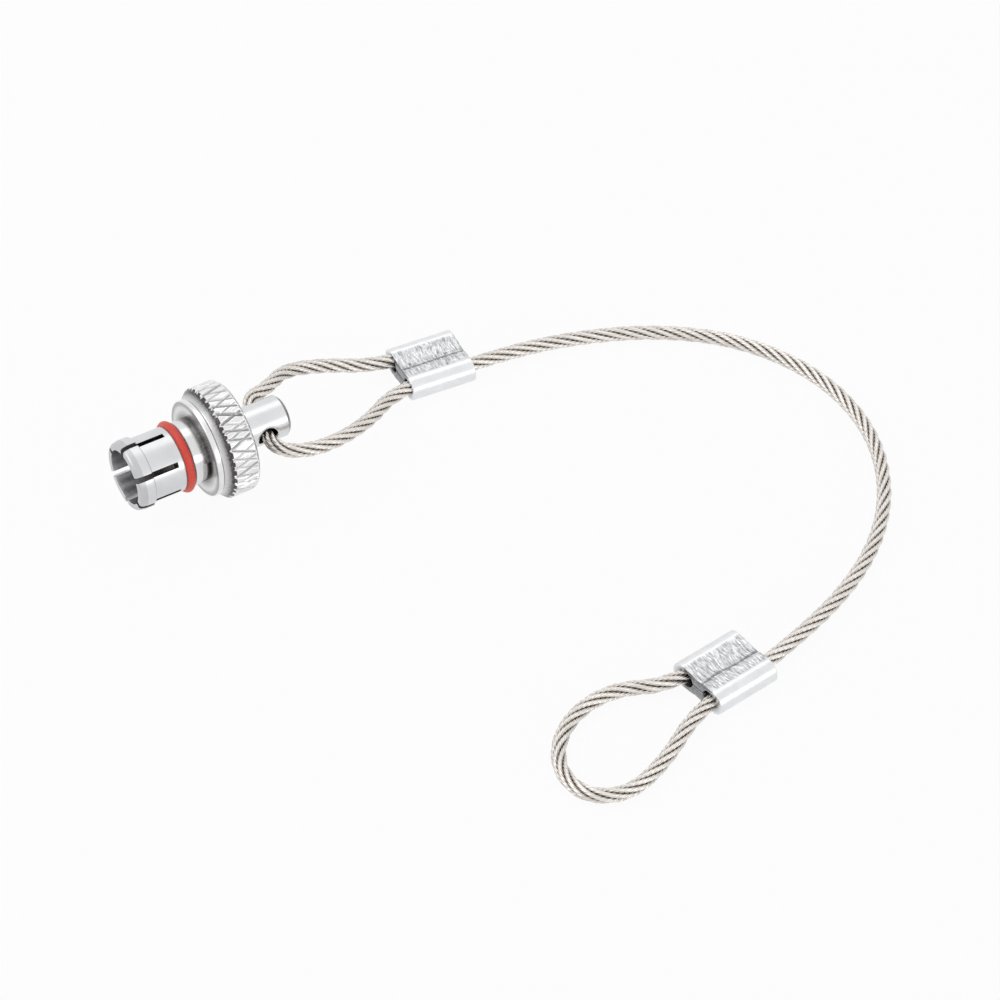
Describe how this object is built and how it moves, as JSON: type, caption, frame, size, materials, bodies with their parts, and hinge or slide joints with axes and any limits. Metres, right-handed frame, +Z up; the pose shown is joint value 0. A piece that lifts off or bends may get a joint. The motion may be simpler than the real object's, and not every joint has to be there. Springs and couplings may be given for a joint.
{
  "type": "connector sealing plug with wire-rope lanyard",
  "caption": "Round sealing plug with slotted spring nose, red sealing ring and knurled grip, held by a swivelling post on a short wire-rope lanyard with pressed ferrules and an eye.",
  "frame": {"origin": "bottom centre of the plug's box, on the surface that the knurled grip lies on, without the rope and its ferrules", "axes": "+Z up; the plug's axis is along X with the slotted nose towards -X and the lanyard post towards +X"},
  "size_m": [0.0702, 0.0642, 0.0115],
  "materials": {
    "nickel_plate": "satin nickel plate over turned brass",
    "seal_rubber": "smooth red silicone rubber",
    "washer_plastic": "white low-friction plastic",
    "rope_steel": "bright drawn stainless wire",
    "ferrule_metal": "pressed bright aluminium"
  },
  "bodies": {
    "plug": {"knurled_grip": "nickel_plate", "spring_collet": "nickel_plate", "sealing_core": "nickel_plate", "o_ring": "seal_rubber", "swivel_washer": "washer_plastic"},
    "post": {"lanyard_post": "nickel_plate"},
    "lanyard": {"wire_rope": "rope_steel", "ferrule_plug_end": "ferrule_metal", "ferrule_loop_end": "ferrule_metal"}
  },
  "joints": [
    {"name": "post_swivel", "type": "hinge", "parent": "plug", "child": "post", "pos_m": [0.006, 0, 0.00575], "axis": [1, 0, 0], "continuous": true},
    {"name": "lanyard_swing", "type": "hinge", "parent": "post", "child": "lanyard", "pos_m": [0.00615, 0, 0.00575], "axis": [0, 0.9781, 0.2079], "range_deg": [-100, 100]}
  ]
}
